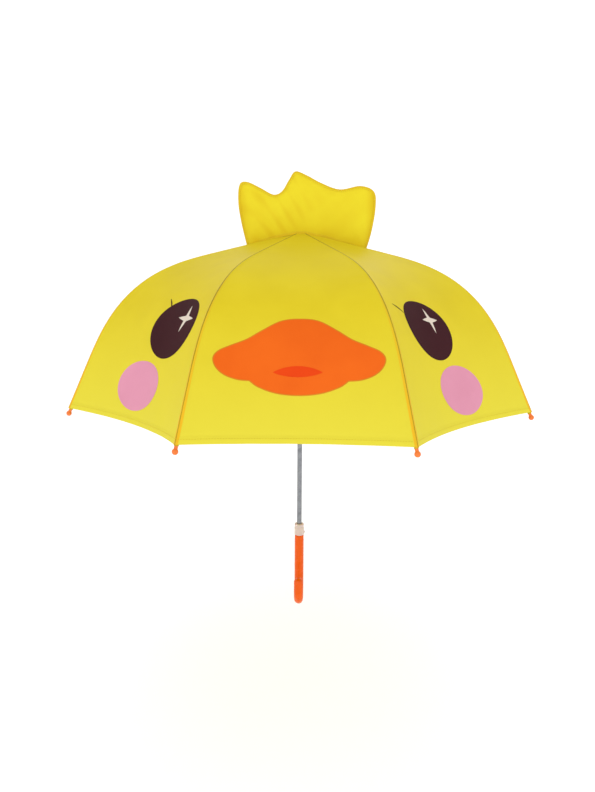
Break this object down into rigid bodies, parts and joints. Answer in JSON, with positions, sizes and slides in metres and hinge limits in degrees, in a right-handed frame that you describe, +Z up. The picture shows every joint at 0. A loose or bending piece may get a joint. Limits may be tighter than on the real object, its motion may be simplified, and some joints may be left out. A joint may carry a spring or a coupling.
{
  "type": "children's umbrella",
  "caption": "Children's dome umbrella with a soft crest on its crown, bent ribs with ball tips, a push-button runner and a crook handle.",
  "frame": {"origin": "on the axis of the shaft, near the middle of the straight grip of the handle", "axes": "+Z up the shaft to the ferrule; the face on the canopy and the open side of the hook look along -Y"},
  "size_m": [0.6596, 0.6596, 0.6925],
  "materials": {
    "shaft_steel": "bright plated steel tube",
    "rib_steel": "zinc-plated spring steel",
    "tie_wire": "drawn wire",
    "handle_orange": "moulded, satin gloss",
    "tip_orange": "moulded, satin gloss",
    "ferrule_orange": "moulded, satin gloss",
    "collar_clear": "translucent soft plastic",
    "notch_black": "moulded",
    "cap_yellow": "moulded",
    "runner_white": "moulded",
    "button_orange": "moulded",
    "canopy_fabric": "woven polyester, printed face",
    "crest_fabric": "woven polyester, two layers",
    "strap_fabric": "woven polyester"
  },
  "bodies": {
    "root": {"shaft": "shaft_steel", "handle": "handle_orange", "handle_collar": "collar_clear", "top_notch": "notch_black", "notch_wire": "tie_wire", "crown_cap": "cap_yellow", "ferrule": "ferrule_orange", "runner_stop": "notch_black", "crest": "crest_fabric"},
    "runner": {"runner": "runner_white"},
    "runner_button": {"runner_button": "button_orange"},
    "rib_inner_1": {"rib_inner_1": "rib_steel", "gore_inner_1": "canopy_fabric"},
    "rib_outer_1": {"rib_outer_1": "rib_steel", "rib_tip_1": "tip_orange", "gore_outer_1": "canopy_fabric"},
    "stretcher_1": {"stretcher_1": "rib_steel"},
    "rib_inner_2": {"rib_inner_2": "rib_steel", "gore_inner_2": "canopy_fabric"},
    "rib_outer_2": {"rib_outer_2": "rib_steel", "rib_tip_2": "tip_orange", "gore_outer_2": "canopy_fabric", "tie_strap": "strap_fabric"},
    "stretcher_2": {"stretcher_2": "rib_steel"},
    "rib_inner_3": {"rib_inner_3": "rib_steel", "gore_inner_3": "canopy_fabric"},
    "rib_outer_3": {"rib_outer_3": "rib_steel", "rib_tip_3": "tip_orange", "gore_outer_3": "canopy_fabric"},
    "stretcher_3": {"stretcher_3": "rib_steel"},
    "rib_inner_4": {"rib_inner_4": "rib_steel", "gore_inner_4": "canopy_fabric"},
    "rib_outer_4": {"rib_outer_4": "rib_steel", "rib_tip_4": "tip_orange", "gore_outer_4": "canopy_fabric"},
    "stretcher_4": {"stretcher_4": "rib_steel"},
    "rib_inner_5": {"rib_inner_5": "rib_steel", "gore_inner_5": "canopy_fabric"},
    "rib_outer_5": {"rib_outer_5": "rib_steel", "rib_tip_5": "tip_orange", "gore_outer_5": "canopy_fabric"},
    "stretcher_5": {"stretcher_5": "rib_steel"},
    "rib_inner_6": {"rib_inner_6": "rib_steel", "gore_inner_6": "canopy_fabric"},
    "rib_outer_6": {"rib_outer_6": "rib_steel", "rib_tip_6": "tip_orange", "gore_outer_6": "canopy_fabric"},
    "stretcher_6": {"stretcher_6": "rib_steel"},
    "rib_inner_7": {"rib_inner_7": "rib_steel", "gore_inner_7": "canopy_fabric"},
    "rib_outer_7": {"rib_outer_7": "rib_steel", "rib_tip_7": "tip_orange", "gore_outer_7": "canopy_fabric"},
    "stretcher_7": {"stretcher_7": "rib_steel"},
    "rib_inner_8": {"rib_inner_8": "rib_steel", "gore_inner_8": "canopy_fabric"},
    "rib_outer_8": {"rib_outer_8": "rib_steel", "rib_tip_8": "tip_orange", "gore_outer_8": "canopy_fabric"},
    "stretcher_8": {"stretcher_8": "rib_steel"}
  },
  "joints": [
    {"name": "runner_slide", "type": "slide", "parent": "root", "child": "runner", "axis": [0, 0, -1], "range_m": [0, 0.26004], "deforming": ["gore_inner_1", "gore_inner_2", "gore_inner_3", "gore_inner_4", "gore_inner_5", "gore_inner_6", "gore_inner_7", "gore_inner_8", "gore_outer_1", "gore_outer_2", "gore_outer_3", "gore_outer_4", "gore_outer_5", "gore_outer_6", "gore_outer_7", "gore_outer_8", "crest", "tie_strap"]},
    {"name": "button_press", "type": "hinge", "parent": "runner", "child": "runner_button", "pos_m": [0, 0.009, 0.3628], "axis": [-1, 0, 0], "range_deg": [0, 8], "stiffness_Nm_per_rad": 0.12},
    {"name": "rib_fold_1", "type": "hinge", "parent": "root", "child": "rib_inner_1", "pos_m": [0.00831, 0.00344, 0.53446], "axis": [-0.3827, 0.9239, 0], "range_deg": [0, 71.31]},
    {"name": "rib_bend_1", "type": "hinge", "parent": "rib_inner_1", "child": "rib_outer_1", "pos_m": [0.20769, 0.08603, 0.47104], "axis": [-0.3827, 0.9239, 0], "range_deg": [-37.66, 0]},
    {"name": "stretcher_swing_1", "type": "hinge", "parent": "rib_inner_1", "child": "stretcher_1", "pos_m": [0.16715, 0.06924, 0.48613], "axis": [-0.3827, 0.9239, 0], "range_deg": [-142.61, 0]},
    {"name": "rib_fold_2", "type": "hinge", "parent": "root", "child": "rib_inner_2", "pos_m": [0.00344, 0.00831, 0.53446], "axis": [-0.9239, 0.3827, 0], "range_deg": [0, 71.31]},
    {"name": "rib_bend_2", "type": "hinge", "parent": "rib_inner_2", "child": "rib_outer_2", "pos_m": [0.08603, 0.20769, 0.47104], "axis": [-0.9239, 0.3827, 0], "range_deg": [-37.66, 0]},
    {"name": "stretcher_swing_2", "type": "hinge", "parent": "rib_inner_2", "child": "stretcher_2", "pos_m": [0.06924, 0.16715, 0.48613], "axis": [-0.9239, 0.3827, 0], "range_deg": [-142.61, 0]},
    {"name": "rib_fold_3", "type": "hinge", "parent": "root", "child": "rib_inner_3", "pos_m": [-0.00344, 0.00831, 0.53446], "axis": [-0.9239, -0.3827, 0], "range_deg": [0, 71.31]},
    {"name": "rib_bend_3", "type": "hinge", "parent": "rib_inner_3", "child": "rib_outer_3", "pos_m": [-0.08603, 0.20769, 0.47104], "axis": [-0.9239, -0.3827, 0], "range_deg": [-37.66, 0]},
    {"name": "stretcher_swing_3", "type": "hinge", "parent": "rib_inner_3", "child": "stretcher_3", "pos_m": [-0.06924, 0.16715, 0.48613], "axis": [-0.9239, -0.3827, 0], "range_deg": [-142.61, 0]},
    {"name": "rib_fold_4", "type": "hinge", "parent": "root", "child": "rib_inner_4", "pos_m": [-0.00831, 0.00344, 0.53446], "axis": [-0.3827, -0.9239, 0], "range_deg": [0, 71.31]},
    {"name": "rib_bend_4", "type": "hinge", "parent": "rib_inner_4", "child": "rib_outer_4", "pos_m": [-0.20769, 0.08603, 0.47104], "axis": [-0.3827, -0.9239, 0], "range_deg": [-37.66, 0]},
    {"name": "stretcher_swing_4", "type": "hinge", "parent": "rib_inner_4", "child": "stretcher_4", "pos_m": [-0.16715, 0.06924, 0.48613], "axis": [-0.3827, -0.9239, 0], "range_deg": [-142.61, 0]},
    {"name": "rib_fold_5", "type": "hinge", "parent": "root", "child": "rib_inner_5", "pos_m": [-0.00831, -0.00344, 0.53446], "axis": [0.3827, -0.9239, 0], "range_deg": [0, 71.31]},
    {"name": "rib_bend_5", "type": "hinge", "parent": "rib_inner_5", "child": "rib_outer_5", "pos_m": [-0.20769, -0.08603, 0.47104], "axis": [0.3827, -0.9239, 0], "range_deg": [-37.66, 0]},
    {"name": "stretcher_swing_5", "type": "hinge", "parent": "rib_inner_5", "child": "stretcher_5", "pos_m": [-0.16715, -0.06924, 0.48613], "axis": [0.3827, -0.9239, 0], "range_deg": [-142.61, 0]},
    {"name": "rib_fold_6", "type": "hinge", "parent": "root", "child": "rib_inner_6", "pos_m": [-0.00344, -0.00831, 0.53446], "axis": [0.9239, -0.3827, 0], "range_deg": [0, 71.31]},
    {"name": "rib_bend_6", "type": "hinge", "parent": "rib_inner_6", "child": "rib_outer_6", "pos_m": [-0.08603, -0.20769, 0.47104], "axis": [0.9239, -0.3827, 0], "range_deg": [-37.66, 0]},
    {"name": "stretcher_swing_6", "type": "hinge", "parent": "rib_inner_6", "child": "stretcher_6", "pos_m": [-0.06924, -0.16715, 0.48613], "axis": [0.9239, -0.3827, 0], "range_deg": [-142.61, 0]},
    {"name": "rib_fold_7", "type": "hinge", "parent": "root", "child": "rib_inner_7", "pos_m": [0.00344, -0.00831, 0.53446], "axis": [0.9239, 0.3827, 0], "range_deg": [0, 71.31]},
    {"name": "rib_bend_7", "type": "hinge", "parent": "rib_inner_7", "child": "rib_outer_7", "pos_m": [0.08603, -0.20769, 0.47104], "axis": [0.9239, 0.3827, 0], "range_deg": [-37.66, 0]},
    {"name": "stretcher_swing_7", "type": "hinge", "parent": "rib_inner_7", "child": "stretcher_7", "pos_m": [0.06924, -0.16715, 0.48613], "axis": [0.9239, 0.3827, 0], "range_deg": [-142.61, 0]},
    {"name": "rib_fold_8", "type": "hinge", "parent": "root", "child": "rib_inner_8", "pos_m": [0.00831, -0.00344, 0.53446], "axis": [0.3827, 0.9239, 0], "range_deg": [0, 71.31]},
    {"name": "rib_bend_8", "type": "hinge", "parent": "rib_inner_8", "child": "rib_outer_8", "pos_m": [0.20769, -0.08603, 0.47104], "axis": [0.3827, 0.9239, 0], "range_deg": [-37.66, 0]},
    {"name": "stretcher_swing_8", "type": "hinge", "parent": "rib_inner_8", "child": "stretcher_8", "pos_m": [0.16715, -0.06924, 0.48613], "axis": [0.3827, 0.9239, 0], "range_deg": [-142.61, 0]}
  ],
  "couplings": [
    {"joint": "rib_fold_1", "follows": "runner_slide", "rad_per_m": 4.7855},
    {"joint": "rib_bend_1", "follows": "runner_slide", "rad_per_m": -2.5264},
    {"joint": "stretcher_swing_1", "follows": "runner_slide", "rad_per_m": -9.5709},
    {"joint": "rib_fold_2", "follows": "runner_slide", "rad_per_m": 4.7855},
    {"joint": "rib_bend_2", "follows": "runner_slide", "rad_per_m": -2.5264},
    {"joint": "stretcher_swing_2", "follows": "runner_slide", "rad_per_m": -9.5709},
    {"joint": "rib_fold_3", "follows": "runner_slide", "rad_per_m": 4.7855},
    {"joint": "rib_bend_3", "follows": "runner_slide", "rad_per_m": -2.5264},
    {"joint": "stretcher_swing_3", "follows": "runner_slide", "rad_per_m": -9.5709},
    {"joint": "rib_fold_4", "follows": "runner_slide", "rad_per_m": 4.7855},
    {"joint": "rib_bend_4", "follows": "runner_slide", "rad_per_m": -2.5264},
    {"joint": "stretcher_swing_4", "follows": "runner_slide", "rad_per_m": -9.5709},
    {"joint": "rib_fold_5", "follows": "runner_slide", "rad_per_m": 4.7855},
    {"joint": "rib_bend_5", "follows": "runner_slide", "rad_per_m": -2.5264},
    {"joint": "stretcher_swing_5", "follows": "runner_slide", "rad_per_m": -9.5709},
    {"joint": "rib_fold_6", "follows": "runner_slide", "rad_per_m": 4.7855},
    {"joint": "rib_bend_6", "follows": "runner_slide", "rad_per_m": -2.5264},
    {"joint": "stretcher_swing_6", "follows": "runner_slide", "rad_per_m": -9.5709},
    {"joint": "rib_fold_7", "follows": "runner_slide", "rad_per_m": 4.7855},
    {"joint": "rib_bend_7", "follows": "runner_slide", "rad_per_m": -2.5264},
    {"joint": "stretcher_swing_7", "follows": "runner_slide", "rad_per_m": -9.5709},
    {"joint": "rib_fold_8", "follows": "runner_slide", "rad_per_m": 4.7855},
    {"joint": "rib_bend_8", "follows": "runner_slide", "rad_per_m": -2.5264},
    {"joint": "stretcher_swing_8", "follows": "runner_slide", "rad_per_m": -9.5709}
  ]
}
